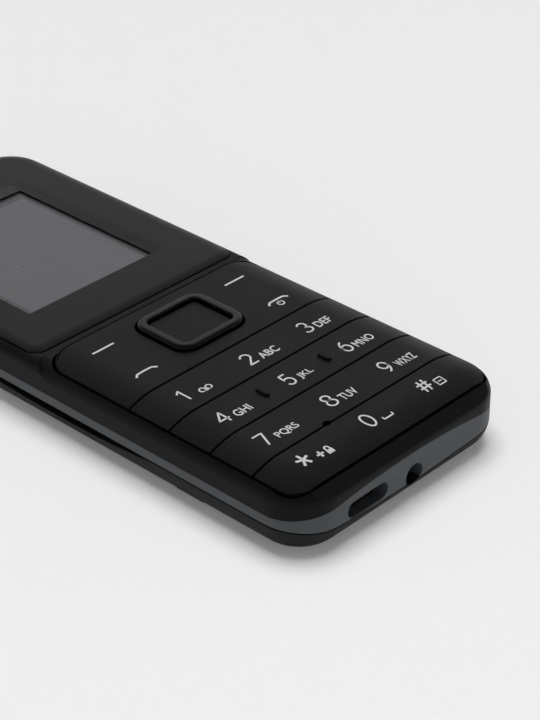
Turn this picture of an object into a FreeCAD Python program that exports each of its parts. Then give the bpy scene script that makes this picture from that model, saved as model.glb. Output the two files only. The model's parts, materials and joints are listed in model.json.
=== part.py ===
import FreeCAD, Part
import math
import os

# Keypad phone, bar type. Millimetres. The origin is the centre of the flat back,
# +X is to the right of the keys, +Y runs to the earpiece end and +Z comes out of the keys.

# Overall size
phone_length = 123.1
phone_width = 50.2
plan_corner = 8.0
housing_height = 12.1
rim_round = 2.0
key_zone_round = 2.7
key_zone_slope = 2.5
foot_slope_low = 10.1
foot_slope_run = 2.85
back_round = 5.0
rim_width = 0.95
cover_wall = 1.1

# Arched parting lines of the grey band, seen from the bottom end
front_parting_side = 6.9
front_parting_middle = 9.15
rear_parting_side = 5.25
rear_parting_middle = 3.55

# Clearances
fit_gap = 0.1
key_gap = 0.35
row_gap = 0.3
lens_gap = 0.25
cover_gap = 0.25
loose_gap = 0.3
slot_end = 0.49

# Frame between the two covers
frame_inset = 1.4
band_depth = 2.4
deck_low = 7.2
deck_high = 8.2
end_wall = 2.3

# Display lens and what lies under it
lens_margin = 1.5
lens_length = 60.7
lens_top = 12.5
lens_thickness = 1.2
lens_low_corner = 2.3
lens_crown_run = 2.0
lens_crown_drop = 0.7
mask_thickness = 0.1
window_bleed = 0.5
lcd_width = 34.6
lcd_height = 44.0
lcd_side_border = 2.8
lcd_low_border = 5.8
lcd_high_border = 2.2
lcd_glass_thickness = 0.8
lcd_light_thickness = 0.85
lcd_corner = 0.8
lcd_glass_inset = 0.5
lcd_ledge = 2.2
gasket_thickness = 0.3
flex_width = 16.0
flex_gap = 0.6
flex_thickness = 0.15
lens_deck_thickness = 1.0
earpiece_slot_length = 8.0
earpiece_slot_width = 1.3
earpiece_width = 12.0
earpiece_depth = 6.0
earpiece_corner = 2.0
earpiece_from_top = 7.55
earpiece_from_lcd = 1.65
mesh_border = 0.8

# Keypad plan
key_plane = 13.0
bridge_width = 2.35
keypad_low_rim = 2.15
keypad_corner = 4.4
opening_corner = 4.2
key_crown_run = 6.0
key_crown_drop = 1.25
nav_depth = 20.2
last_row_short = 0.15
column_pitch = 14.3
key_skin = 1.1
key_wall = 1.0
key_side_wall = 2.4
key_edge_round = 0.18
key_skirt = 10.9
spine_low = 10.6
spine_half_width = 3.0
spine_depth = 4.0
nub_offset = 7.3
nub_width = 1.0
nub_length = 2.8
nub_height = 0.45
nub_edge = 0.15
nub_root = 0.3
mic_notch_x = -6.85
mic_notch_radius = 0.9

# Four-way ring and the middle button
ring_width = 15.4
ring_depth = 13.2
ring_from_top = 10.0
ring_corner = 3.0
ring_top = 13.9
ring_low = 10.8
ring_hole_width = 11.8
ring_hole_depth = 9.9
ring_hole_corner = 1.2
ring_outer_round = 0.7
ring_inner_round = 0.35
ring_gap = 0.45
ok_gap = 0.35
ok_top = 13.2
ok_low = 11.2
ok_stem_radius = 1.6

# Silicone mat, metal domes and boards
board_thickness = 0.8
board_low = 8.3
board_side_margin = 2.5
board_low_margin = 4.75
board_high_margin = 2.55
board_low_corner = 3.0
board_high_corner = 5.5
mat_corner = 2.0
mat_high_margin = 0.6
dome_sheet_thickness = 0.1
dome_radius = 2.2
dome_height = 0.25
mat_thickness = 0.45
web_low = 10.0
web_thickness = 0.45
web_side_margin = 1.35
web_margin = 0.45
web_corner = 0.6
plunger_width = 2.4
plunger_drop = 0.2

# Microphone under the main board
microphone_width = 3.8
microphone_depth = 3.0
microphone_height = 1.1
microphone_hole_radius = 0.5

# Battery bay and battery
battery_side_margin = 8.1
battery_length = 53.0
battery_thickness = 5.4
battery_low = 1.4
battery_from_foot = 19.55
battery_corner = 1.5
bay_gap = 0.35
bay_wall = 1.2
contact_length = 3.0
contact_width = 12.0
contact_height = 3.4
contact_pitch = 3.0
contact_reach = 0.5
pad_width = 1.8
pad_depth = 0.45

# Card holders and shield cans under the main board
under_height = 1.1
sim_x = 8.4
sim_from_battery = 19.0
sim_width = 14.0
sim_depth = 15.5
memory_from_battery = 38.0
memory_width = 14.0
memory_depth = 13.0
card_slot_lift = 0.25
card_slot_height = 0.6
card_side_wall = 0.9
card_end_wall = 1.2
card_view_width = 7.0
card_view_depth = 6.5
processor_x = -9.0
processor_from_battery = 12.0
processor_width = 18.0
processor_depth = 12.0
radio_x = 10.0
radio_from_battery = 13.0
radio_side = 14.0
can_wall = 0.25
can_round = 0.3

# Sockets in the bottom end
usb_hole_x = -10.15
usb_hole_z = 5.65
usb_hole_width = 9.3
usb_hole_height = 3.1
usb_shell_width = 7.6
usb_shell_height = 2.6
usb_shell_depth = 5.6
usb_wall = 0.3
usb_slope = 0.9
usb_tongue_width = 4.9
usb_tongue_height = 0.6
usb_tongue_setback = 0.8
usb_tongue_drop = 0.55
usb_foot_depth = 1.2
jack_x = 0.9
jack_z = 4.8
jack_mouth_radius = 2.0
jack_bore_radius = 1.8
jack_body_width = 6.8
jack_body_height = 5.0
jack_body_depth = 13.0
jack_end_wall = 1.0
connector_board_left = 2.4
connector_board_right = 5.3
connector_board_gap = 0.5
connector_board_low = 7.4
connector_board_thickness = 0.7

# Flat antenna on the back of the frame
antenna_from_top = 9.15
antenna_width = 34.0
antenna_depth = 7.0
antenna_thickness = 0.2

# Screws, joining the frame to the front housing
screw_head_radius = 1.4
screw_head_height = 1.0
screw_shank_radius = 0.7
screw_slot_length = 1.8
screw_slot_width = 0.5
screw_slot_depth = 0.4
boss_radius = 1.8
boss_floor = 0.3
boss_rib = 1.2
bridge_screw_inset = (4.7, 1.4)
crown_screw_inset = (5.5, 6.15)
foot_screw_inset = (7.3, 4.15)

# Pry slot, jack notch, tabs and speaker slots of the rear cover
pry_from_top = 68.05
pry_length = 46.0
pry_height = 1.3
tab_width = 6.0
tab_thickness = 0.8
tab_height = 4.6
tab_from_battery = 6.0
tab_from_top = 37.55
speaker_x = -8.0
speaker_from_battery = 27.0
speaker_width = 15.0
speaker_depth = 11.0
speaker_height = 3.2
speaker_corner = 2.0
speaker_rim = 1.0
speaker_cone_radius = 2.6
speaker_cap_radius = 1.6
speaker_recess = 0.5
speaker_slots = 4
speaker_slot_pitch = 2.4
speaker_slot_width = 1.0
speaker_slot_length = 11.0

# Vibration motor beside the loudspeaker
motor_x = 12.0
motor_radius = 2.0
motor_length = 11.0
motor_lift = 2.3

# Worked out from the sizes above
half_width = phone_width / 2
half_length = phone_length / 2
lens_high_edge = half_length - lens_margin
lens_low_edge = lens_high_edge - lens_length
earpiece_y = half_length - earpiece_from_top
lcd_middle = earpiece_y - earpiece_depth / 2 - earpiece_from_lcd - lcd_height / 2
window_width = lcd_width - 2 * lcd_side_border
window_height = lcd_height - lcd_low_border - lcd_high_border
window_middle = lcd_middle + (lcd_low_border - lcd_high_border) / 2
keypad_high_edge = lens_low_edge - bridge_width
ring_middle = keypad_high_edge - ring_from_top
keypad_half_width = half_width - rim_width - key_gap
keypad_low_edge = -half_length + keypad_low_rim + key_gap
lens_low = lens_top - lens_thickness
lens_seat = lens_low - mask_thickness
board_high = board_low + board_thickness
dome_low = board_high + dome_sheet_thickness
mat_high = dome_low + mat_thickness
web_high = web_low + web_thickness
row_pitch = (keypad_high_edge - nav_depth - keypad_low_edge + last_row_short) / 4
web_half_width = keypad_half_width - web_side_margin
board_half_width = half_width - board_side_margin
board_low_edge = -half_length + board_low_margin
board_high_edge = half_length - board_high_margin
battery_low_edge = -half_length + battery_from_foot
battery_high_edge = battery_low_edge + battery_length
roof_underside = lens_seat - lens_deck_thickness
battery_width = phone_width - 2 * battery_side_margin
speaker_y = battery_high_edge + speaker_from_battery
tab_rows = (battery_low_edge + tab_from_battery, half_length - tab_from_top)
bridge_screw = (half_width - bridge_screw_inset[0], keypad_high_edge + bridge_screw_inset[1])
crown_screw = (half_width - crown_screw_inset[0], half_length - crown_screw_inset[1])
foot_screw = (half_width - foot_screw_inset[0], -half_length + foot_screw_inset[1])
foot_boss_top = key_skirt - 0.7


def at(x, y, z):
    return FreeCAD.Vector(x, y, z)


def box(x_low, x_high, y_low, y_high, z_low, z_high):
    corner = at(x_low, y_low, z_low)
    return Part.makeBox(x_high - x_low, y_high - y_low, z_high - z_low, corner)


def middle_box(x, y, width, depth, z_low, z_high):
    return box(x - width / 2, x + width / 2, y - depth / 2, y + depth / 2, z_low, z_high)


def post(x, y, radius, z_low, z_high):
    return Part.makeCylinder(radius, z_high - z_low, at(x, y, z_low))


def corner_arc(x, y, radius, start):
    points = []
    for turn in (0, 45, 90):
        angle = math.radians(start + turn)
        points.append(at(x + radius * math.cos(angle), y + radius * math.sin(angle), 0))
    return Part.Arc(points[0], points[1], points[2]).toShape()


# A flat plate with its own corner radius at the low end and at the high end
def plate(half, y_low, y_high, low_corner, high_corner, z_low, z_high, x=0.0):
    arcs = [
        corner_arc(x + half - high_corner, y_high - high_corner, high_corner, 0),
        corner_arc(x - half + high_corner, y_high - high_corner, high_corner, 90),
        corner_arc(x - half + low_corner, y_low + low_corner, low_corner, 180),
        corner_arc(x + half - low_corner, y_low + low_corner, low_corner, 270),
    ]
    edges = []
    for number, arc in enumerate(arcs):
        following = arcs[(number + 1) % len(arcs)]
        edges.append(arc)
        start = arc.valueAt(arc.LastParameter)
        end = following.valueAt(following.FirstParameter)
        edges.append(Part.makeLine(start, end))
    face = Part.Face(Part.Wire(edges))
    face.translate(at(0, 0, z_low))
    return face.extrude(at(0, 0, z_high - z_low))


def middle_plate(x, y, width, depth, corner, z_low, z_high):
    return plate(width / 2, y - depth / 2, y + depth / 2, corner, corner, z_low, z_high, x)


def edges_at(shape, height):
    found = []
    for edge in shape.Edges:
        bounds = edge.BoundBox
        if abs(bounds.ZMin - height) < 1e-6 and abs(bounds.ZMax - height) < 1e-6:
            found.append(edge)
    return found


def round_at(shape, height, radius):
    return shape.makeFillet(radius, edges_at(shape, height))


# The same outline as the phone, drawn in by an inset
def phone_plate(inset, z_low, z_high):
    corner = plan_corner - inset
    low = -half_length + inset
    return plate(half_width - inset, low, half_length - inset, corner, corner, z_low, z_high)


# Outer form of the closed phone: straight sides, rounded rim and a deep rounding to the back
def phone_envelope(front_round=rim_round):
    block = phone_plate(0, 0, housing_height)
    block = round_at(block, housing_height, front_round)
    return round_at(block, 0, back_round)


# A bar across the phone, drawn as corners in the plane of its length and height
def cross_bar(corners):
    points = [at(-phone_width, y, z) for y, z in corners]
    return Part.Face(Part.makePolygon(points + [points[0]])).extrude(at(2 * phone_width, 0, 0))


# Outer form of the front: the rim is rounded more beside the keys than beside the lens, a slope on the
# bridge joins the two, and a flat slope runs along the foot
def front_form():
    top = housing_height
    start = keypad_high_edge + bridge_width / 2
    far = half_length + 1
    lean = key_zone_slope / key_zone_round
    beside_lens = cross_bar([(start + lean, top + 1), (far, top + 1), (far, 0), (start - lean * top, 0)])
    form = phone_envelope().common(beside_lens).fuse(phone_envelope(key_zone_round))
    foot = -half_length
    steep = (top - foot_slope_low) / foot_slope_run
    wedge = cross_bar([(foot - 1, foot_slope_low - steep), (foot + foot_slope_run, top),
                       (foot + foot_slope_run, top + 1), (foot - 1, top + 1)])
    return form.cut(wedge)


# Space inside the rear cover, drawn in evenly from the outer form
def rear_inside(inset, z_high):
    block = phone_plate(inset, inset, z_high)
    return round_at(block, inset, back_round - inset)


# All that lies above, or below, an arched parting line that runs along the phone
def parting_side(side_height, middle_height, upward):
    reach = half_width * 1.2
    reach_height = middle_height + (side_height - middle_height) * 1.2 ** 2
    far = housing_height * 2 if upward else -housing_height
    y = -half_length * 1.2
    crest = at(0, y, middle_height)
    arc = Part.Arc(at(-reach, y, reach_height), crest, at(reach, y, reach_height)).toShape()
    right = Part.makeLine(at(reach, y, reach_height), at(reach, y, far))
    across = Part.makeLine(at(reach, y, far), at(-reach, y, far))
    left = Part.makeLine(at(-reach, y, far), at(-reach, y, reach_height))
    face = Part.Face(Part.Wire([arc, right, across, left]))
    return face.extrude(at(0, phone_length * 1.2, 0))


# A plate whose upper face falls away towards its edges in a wide arc
def crowned_plate(half, y_low, y_high, low_corner, high_corner, z_low, z_high, run, drop, open_end):
    radius = (run ** 2 + drop ** 2) / (2 * drop)
    grow = radius - run
    beyond = radius * 2 if open_end else grow
    block = plate(half + grow, y_low - grow, y_high + beyond, low_corner + grow, high_corner + grow,
                  z_low - radius, z_high)
    block = round_at(block, z_high, radius)
    outline = plate(half, y_low, y_high, low_corner, high_corner, z_low, z_high)
    return block.common(outline)


def screw_places():
    places = []
    for x, y in (bridge_screw, crown_screw, foot_screw):
        places.append((x, y))
        places.append((-x, y))
    return places


# Key places: a list of rows, each with its low and high edge
def key_rows():
    rows = []
    high = keypad_high_edge - nav_depth
    for number in range(4):
        low = high - row_pitch if number < 3 else keypad_low_edge
        rows.append((low + row_gap / 2, high - row_gap / 2))
        high = low
    return rows


def row_middle(row):
    return (row[0] + row[1]) / 2


def number_places(row):
    return [(column * column_pitch, row_middle(row)) for column in (-1, 0, 1)]


def nav_range():
    return (keypad_high_edge - nav_depth + row_gap / 2, keypad_high_edge)


def nav_places():
    low, high = nav_range()
    places = []
    for x in (-column_pitch, column_pitch):
        places.append((x, low + nav_depth / 4))
        places.append((x, high - nav_depth / 4))
    return places


def dome_places():
    places = nav_places() + [(0, ring_middle)]
    for row in key_rows():
        places += number_places(row)
    return places


# The foot bosses stay below the lowest key, and the others run into the roof
def boss_top(y):
    if y == foot_screw[1]:
        return foot_boss_top
    return roof_underside + boss_floor


# Front housing

def lens_outline(grow, z_low, z_high):
    inset = lens_margin - grow
    corner = plan_corner - inset
    return plate(half_width - inset, lens_low_edge - grow, half_length - inset,
                 lens_low_corner + grow, corner, z_low, z_high)


def keypad_opening(z_low, z_high):
    return plate(keypad_half_width + key_gap, keypad_low_edge - key_gap, keypad_high_edge + key_gap,
                 opening_corner, opening_corner, z_low, z_high)


def front_cover():
    shell = front_form().common(parting_side(front_parting_side, front_parting_middle, True))
    shell = shell.cut(phone_plate(rim_width, 0, roof_underside))
    shell = shell.cut(keypad_opening(0, housing_height + 1))
    shell = shell.cut(lens_outline(lens_gap, lens_seat, housing_height + 1))
    lcd_hole = middle_plate(0, lcd_middle, lcd_width + 2 * loose_gap, lcd_height + 2 * loose_gap,
                            lcd_corner, 0, housing_height)
    shell = shell.cut(lcd_hole)
    shell = shell.cut(earpiece_block(loose_gap, 0, lens_seat + fit_gap))
    above_band = parting_side(front_parting_side, front_parting_middle + fit_gap, True)
    for x, y in screw_places():
        boss = post(x, y, boss_radius, deck_high + fit_gap / 2, boss_top(y))
        if y == foot_screw[1]:
            low = deck_high + fit_gap / 2
            half = boss_rib / 2
            rib = box(x - half, x + half, -half_length + rim_width / 2, y, low, foot_boss_top)
            boss = boss.fuse(rib)
        shell = shell.fuse(boss.common(above_band))
    for x, y in screw_places():
        shell = shell.cut(post(x, y, screw_shank_radius + fit_gap, 0, foot_boss_top - boss_floor))
    return shell.removeSplitter()


# Grey band and frame

def screw_wells():
    wells = []
    for x, y in screw_places():
        wells.append(post(x, y, screw_head_radius + loose_gap, 0, deck_low))
        wells.append(post(x, y, screw_shank_radius + fit_gap, 0, deck_high + 1))
    return wells


def battery_bay():
    low = battery_low_edge - bay_gap
    high = battery_high_edge + bay_gap + contact_length
    return plate(battery_width / 2 + bay_gap, low, high, battery_corner, battery_corner, 0, deck_low)


def side_troughs():
    inner = battery_width / 2 + bay_gap + bay_wall
    outer = half_width - frame_inset - band_depth
    low = battery_low_edge
    high = battery_high_edge
    third = (high - low) / 3
    troughs = []
    for side in (-1, 1):
        for number in range(3):
            y_low = low + number * third
            x_low = min(side * inner, side * outer)
            x_high = max(side * inner, side * outer)
            troughs.append(box(x_low, x_high, y_low + bay_wall, y_low + third, 0, deck_low))
    return troughs


def speaker_chamber(gap):
    return middle_plate(speaker_x, speaker_y, speaker_width + 2 * gap, speaker_depth + 2 * gap,
                        speaker_corner, 0, battery_low + speaker_height + gap)


def tab_places():
    places = []
    for y in tab_rows:
        places.append((-1, y))
        places.append((1, y))
    return places


def cover_tab(side, y, gap):
    outer = half_width - frame_inset - loose_gap
    inner = outer - tab_thickness
    x_low = min(side * inner, side * outer) - gap
    x_high = max(side * inner, side * outer) + gap
    low = cover_wall if gap == 0 else 0
    high = cover_wall + tab_height + gap
    return box(x_low, x_high, y - tab_width / 2 - gap, y + tab_width / 2 + gap, low, high)


# The bay behind the sockets goes right through, with a tail for the long jack body and a hole over the
# microphone
def socket_bay():
    left, right, low, high = connector_board_edges()
    low = -half_length + end_wall
    bay = box(left - loose_gap, right + loose_gap, low, high + loose_gap, 0, deck_high + 1)
    tail_half = jack_body_width / 2 + loose_gap
    tail_high = socket_face() + jack_body_depth + loose_gap
    tail = box(jack_x - tail_half, jack_x + tail_half, low, tail_high, 0, connector_board_low)
    bay = bay.fuse(tail)
    return bay.fuse(microphone_block(loose_gap))


# Frame body: it fills the phone's outline, with a sloped lower edge inside the cover's rounding
def frame_block():
    block = phone_plate(frame_inset, frame_inset, deck_high)
    return block.makeChamfer(back_round - frame_inset, edges_at(block, frame_inset))


def mid_frame():
    band = phone_envelope().common(parting_side(front_parting_side, front_parting_middle, False))
    band = band.common(parting_side(rear_parting_side, rear_parting_middle, True))
    band = band.cut(phone_plate(band_depth, 0, housing_height))
    block = frame_block()
    block = block.cut(battery_bay())
    for trough in side_troughs():
        block = block.cut(trough)
    block = block.cut(speaker_chamber(loose_gap))
    block = block.cut(motor_cradle())
    for window in board_windows():
        block = block.cut(window)
    frame = band.fuse(block).cut(socket_bay())
    for well in screw_wells():
        frame = frame.cut(well)
    for side, y in tab_places():
        frame = frame.cut(cover_tab(side, y, cover_gap))
    frame = frame.cut(usb_mouth())
    frame = frame.cut(jack_mouth(jack_mouth_radius))
    return frame.removeSplitter()


def usb_mouth():
    round_end = usb_hole_height / 2
    half = usb_hole_width / 2 - round_end
    y = -half_length - 1
    depth = 1 + end_wall + loose_gap
    mouth = box(usb_hole_x - half, usb_hole_x + half, y, y + depth, usb_hole_z - round_end,
                usb_hole_z + round_end)
    for side in (-1, 1):
        end = Part.makeCylinder(round_end, depth, at(usb_hole_x + side * half, y, usb_hole_z), at(0, 1, 0))
        mouth = mouth.fuse(end)
    return mouth


def jack_mouth(radius):
    y = -half_length - 1
    depth = 1 + end_wall + loose_gap
    return Part.makeCylinder(radius, depth, at(jack_x, y, jack_z), at(0, 1, 0))


# Rear cover that lifts off

def pry_slot():
    radius = (pry_length ** 2 / 4 + pry_height ** 2) / (2 * pry_height)
    edge = rear_parting_side - cover_gap
    centre = at(-half_width - 1, half_length - pry_from_top, edge + radius - pry_height)
    return Part.makeCylinder(radius, 3 + cover_wall, centre, at(1, 0, 0))


def speaker_grille():
    slots = []
    first = -(speaker_slots - 1) / 2
    for number in range(speaker_slots):
        y = speaker_y + (first + number) * speaker_slot_pitch
        slots.append(middle_plate(speaker_x, y, speaker_slot_length, speaker_slot_width,
                                  speaker_slot_width * slot_end, -1, cover_wall + 1))
    return slots


def battery_cover():
    side = rear_parting_side - cover_gap
    middle = rear_parting_middle - cover_gap
    shell = phone_envelope().common(parting_side(side, middle, False))
    shell = shell.cut(rear_inside(cover_wall, housing_height))
    for tab_side, y in tab_places():
        shell = shell.fuse(cover_tab(tab_side, y, 0))
    shell = shell.cut(jack_mouth(jack_mouth_radius))
    slot = pry_slot().common(box(-half_width - 1, 0, -half_length, half_length, 0, side + 1))
    shell = shell.cut(slot)
    for grille_slot in speaker_grille():
        shell = shell.cut(grille_slot)
    return shell.removeSplitter()


# Display

def display_lens():
    inset = lens_margin
    lens = crowned_plate(half_width - inset, lens_low_edge, half_length - inset, lens_low_corner,
                         plan_corner - inset, lens_low, lens_top, lens_crown_run, lens_crown_drop, False)
    return lens.cut(earpiece_slot(lens_low - 1, lens_top + 1, 0))


def earpiece_slot(z_low, z_high, grow):
    return middle_plate(0, earpiece_y, earpiece_slot_length + 2 * grow, earpiece_slot_width + 2 * grow,
                        (earpiece_slot_width + 2 * grow) * slot_end, z_low, z_high)


def window_mask():
    film = lens_outline(-fit_gap, lens_seat, lens_low)
    film = film.cut(middle_box(0, window_middle, window_width, window_height, 0, housing_height + 1))
    return film.cut(earpiece_slot(0, housing_height + 1, 2 * fit_gap))


def lcd_stack():
    light_low = board_high + fit_gap
    glass_low = light_low + lcd_light_thickness
    glass_high = glass_low + lcd_glass_thickness
    return light_low, glass_low, glass_high


def lcd_backlight():
    low, high, glass_high = lcd_stack()
    return middle_plate(0, lcd_middle, lcd_width, lcd_height, lcd_corner, low, high)


def lcd_glass():
    light_low, low, high = lcd_stack()
    half = lcd_width / 2 - lcd_glass_inset
    y_low = lcd_middle - lcd_height / 2 + lcd_ledge
    return box(-half, half, y_low, lcd_middle + lcd_height / 2 - lcd_glass_inset, low, high)


def lcd_gasket():
    light_low, glass_low, glass_high = lcd_stack()
    high = lens_seat - fit_gap / 2
    low = high - gasket_thickness
    outer = middle_box(0, lcd_middle, lcd_width - fit_gap, lcd_height - fit_gap, low, high)
    width = window_width + 2 * window_bleed
    height = window_height + 2 * window_bleed
    return outer.cut(middle_box(0, window_middle, width, height, 0, housing_height))


def lcd_flex():
    light_low, glass_low, glass_high = lcd_stack()
    y_low = keypad_high_edge - mat_high_margin + flex_gap
    y_high = lcd_middle - lcd_height / 2 - fit_gap
    low = board_high + fit_gap / 2
    return box(-flex_width / 2, flex_width / 2, y_low, y_high, low, low + flex_thickness)


# Keys

def keypad_form():
    return crowned_plate(keypad_half_width, keypad_low_edge, keypad_high_edge, keypad_corner, keypad_corner,
                         key_skirt, key_plane, key_crown_run, key_crown_drop, True)


def long_top_edges(shape, y_places):
    found = []
    for edge in shape.Edges:
        bounds = edge.BoundBox
        level = bounds.ZMax > key_plane - key_crown_drop + 0.1
        for y in y_places:
            if level and abs(bounds.YMin - y) < 1e-4 and abs(bounds.YMax - y) < 1e-4:
                found.append(edge)
    return found


# The hollow under a bar: a pocket that follows its outline, with a cross rib between the key places
def bar_hollow(low, high):
    inside = box(-half_width, half_width, low + key_wall, high - key_wall, 0, key_plane)
    pocket = keypad_pocket().common(inside)
    for column in (-0.5, 0.5):
        x = column * column_pitch
        pocket = pocket.cut(box(x - key_wall / 2, x + key_wall / 2, low, high, 0, key_plane))
    return pocket


def keypad_pocket():
    inset = key_side_wall
    return plate(keypad_half_width - inset, keypad_low_edge + inset, keypad_high_edge + inset,
                 keypad_corner - inset, keypad_corner, 0, key_plane - key_skin)


def bar_spine(low, high):
    middle = (low + high) / 2
    spine = middle_box(0, middle, spine_half_width * 2, spine_depth, spine_low, key_plane - key_skin / 2)
    return spine


def key_strip(row):
    low, high = row
    strip = keypad_form().common(box(-half_width, half_width, low, high, 0, key_plane + 1))
    edges = long_top_edges(strip, [low, high])
    if edges:
        strip = strip.makeFillet(key_edge_round, edges)
    strip = strip.cut(bar_hollow(low, high))
    return strip.fuse(bar_spine(low, high)).removeSplitter()


def key_strip_456(row):
    strip = key_strip(row)
    for side in (-1, 1):
        nub = middle_plate(side * nub_offset, row_middle(row), nub_width, nub_length, nub_width * slot_end,
                           key_plane - nub_root, key_plane + nub_height)
        nub = nub.makeChamfer(nub_edge, edges_at(nub, key_plane + nub_height))
        strip = strip.fuse(nub)
    return strip.removeSplitter()


def key_strip_789(row):
    notch = post(mic_notch_x, row[0] - row_gap / 2, mic_notch_radius, 0, key_plane + 1)
    return key_strip(row).cut(notch)


def key_strip_last(row):
    notch = post(mic_notch_x, row[1] + row_gap / 2, mic_notch_radius / 2, 0, key_plane + 1)
    return key_strip(row).cut(notch)


def nav_block():
    low, high = nav_range()
    block = keypad_form().common(box(-half_width, half_width, low, high, 0, key_plane + 1))
    edges = long_top_edges(block, [low, high])
    if edges:
        block = block.makeFillet(key_edge_round, edges)
    inside = box(-half_width, half_width, low + key_wall, high - key_wall, 0, key_plane)
    pocket = keypad_pocket().common(inside)
    pocket = pocket.cut(ring_prism(ring_gap + key_wall, 0, key_plane))
    for side in (-1, 1):
        x = side * column_pitch
        pocket = pocket.cut(box(x - key_wall * 2, x + key_wall * 2, ring_middle - key_wall / 2,
                                ring_middle + key_wall / 2, 0, key_plane))
    block = block.cut(pocket)
    block = block.cut(ring_prism(ring_gap, 0, key_plane + 1))
    return block.removeSplitter()


def ring_prism(grow, z_low, z_high):
    return middle_plate(0, ring_middle, ring_width + 2 * grow, ring_depth + 2 * grow, ring_corner + grow,
                        z_low, z_high)


def dpad_ring():
    ring = round_at(ring_prism(0, ring_low, ring_top), ring_top, ring_outer_round)
    hole = middle_plate(0, ring_middle, ring_hole_width, ring_hole_depth, ring_hole_corner, 0, ring_top + 1)
    ring = ring.cut(hole)
    inner = []
    for edge in edges_at(ring, ring_top):
        bounds = edge.BoundBox
        inside_x = bounds.XMax < ring_hole_width / 2 + 0.01 and bounds.XMin > -ring_hole_width / 2 - 0.01
        inside_y = abs(bounds.YMax + bounds.YMin - 2 * ring_middle) < ring_hole_depth + 0.01
        reach = max(abs(bounds.YMax - ring_middle), abs(bounds.YMin - ring_middle))
        if inside_x and inside_y and reach < ring_hole_depth / 2 + 0.01:
            inner.append(edge)
    return ring.makeFillet(ring_inner_round, inner)


def ok_button():
    width = ring_hole_width - 2 * ok_gap
    depth = ring_hole_depth - 2 * ok_gap
    cap = middle_plate(0, ring_middle, width, depth, ring_hole_corner - ok_gap, ok_low, ok_top)
    cap = round_at(cap, ok_top, key_edge_round)
    return cap.fuse(post(0, ring_middle, ok_stem_radius, web_low - plunger_drop, ok_low))


# Silicone mat and its moving webs

def row_web(row):
    low, high = row
    low = max(low, board_low_edge - web_margin)
    web = box(-web_half_width, web_half_width, low + web_margin, high - web_margin, web_low, web_high)
    for x, y in number_places(row):
        web = web.fuse(middle_box(x, y, plunger_width, plunger_width, web_low - plunger_drop, web_low))
    if low < foot_screw[1] + boss_radius + web_margin:
        for side in (-1, 1):
            web = web.cut(post(side * foot_screw[0], foot_screw[1], boss_radius + loose_gap, 0, key_plane))
    return web.removeSplitter()


def nav_web():
    low, high = nav_range()
    web = plate(web_half_width, low + web_margin, high - web_margin, web_corner, keypad_corner,
                web_low, web_high)
    web = web.cut(ring_prism(ring_gap, 0, key_plane))
    for x, y in nav_places():
        web = web.fuse(middle_box(x, y, plunger_width, plunger_width, web_low - plunger_drop, web_low))
    return web.removeSplitter()


def dpad_web():
    web = ring_prism(-fit_gap, web_low, web_high - fit_gap)
    return web.cut(post(0, ring_middle, ok_stem_radius + loose_gap, 0, key_plane))


def board_outline(z_low, z_high):
    return plate(board_half_width, board_low_edge, board_high_edge, board_low_corner, board_high_corner,
                 z_low, z_high)


def boss_notches(z_low, z_high):
    return [post(x, y, boss_radius + loose_gap, z_low, z_high) for x, y in screw_places()]


def mat_outline(z_low, z_high):
    high = keypad_high_edge - mat_high_margin
    return plate(board_half_width, board_low_edge, high, mat_corner, mat_corner, z_low, z_high)


def keymat_base():
    mat = mat_outline(dome_low, mat_high)
    for x, y in dome_places():
        cell = 2 * (dome_radius + fit_gap)
        mat = mat.cut(middle_box(x, y, cell, cell, 0, key_plane))
    for notch in boss_notches(0, key_plane):
        mat = mat.cut(notch)
    return mat.removeSplitter()


def dome_sheet():
    sheet = mat_outline(board_high, dome_low)
    for notch in boss_notches(0, key_plane):
        sheet = sheet.cut(notch)
    return sheet.removeSplitter()


def metal_domes():
    domes = [eight_sided(x, y, dome_radius, dome_low, dome_height) for x, y in dome_places()]
    return Part.makeCompound(domes)


# Snap domes of this kind are cut with eight sides
def eight_sided(x, y, radius, low, height):
    corners = []
    for number in range(8):
        angle = math.radians(22.5 + 45 * number)
        corners.append(at(x + radius * math.cos(angle), y + radius * math.sin(angle), low))
    return Part.Face(Part.makePolygon(corners + [corners[0]])).extrude(at(0, 0, height))


# Boards and what they carry

def main_board():
    board = board_outline(board_low, board_high)
    for notch in boss_notches(0, key_plane):
        board = board.cut(notch)
    board = board.cut(earpiece_block(loose_gap, 0, key_plane))
    return board.cut(post(mic_notch_x, mic_y(), microphone_hole_radius, 0, key_plane)).removeSplitter()


def mic_y():
    return key_rows()[3][1] + row_gap / 2


def microphone_block(gap):
    width = microphone_width + 2 * gap
    depth = microphone_depth + 2 * gap
    low = board_low - microphone_height - gap
    return middle_box(mic_notch_x, mic_y(), width, depth, low, board_low)


# Windows in the frame's deck, for what hangs under the main board
under_board = {
    "sim_first": (-sim_x, battery_high_edge - sim_from_battery, sim_width, sim_depth),
    "sim_second": (sim_x, battery_high_edge - sim_from_battery, sim_width, sim_depth),
    "memory_card": (0, battery_high_edge - memory_from_battery, memory_width, memory_depth),
    "processor": (processor_x, battery_high_edge + processor_from_battery, processor_width, processor_depth),
    "radio": (radio_x, battery_high_edge + radio_from_battery, radio_side, radio_side),
}


def under_board_block(name, grow):
    x, y, width, depth = under_board[name]
    return middle_box(x, y, width + 2 * grow, depth + 2 * grow, board_low - under_height - grow, board_low)


def board_windows():
    return [under_board_block(name, loose_gap) for name in under_board]


def card_holder(name):
    x, y, width, depth = under_board[name]
    slot_low = board_low - under_height + card_slot_lift
    half = width / 2 - card_side_wall
    slot = box(x - half, x + half, y - depth / 2 - 1, y + depth / 2 - card_end_wall,
               slot_low, slot_low + card_slot_height)
    view = middle_box(x, y, card_view_width, card_view_depth, 0, slot_low)
    return under_board_block(name, 0).cut(slot).cut(view)


def sim_holders():
    return Part.makeCompound([card_holder("sim_first"), card_holder("sim_second")])


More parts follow.
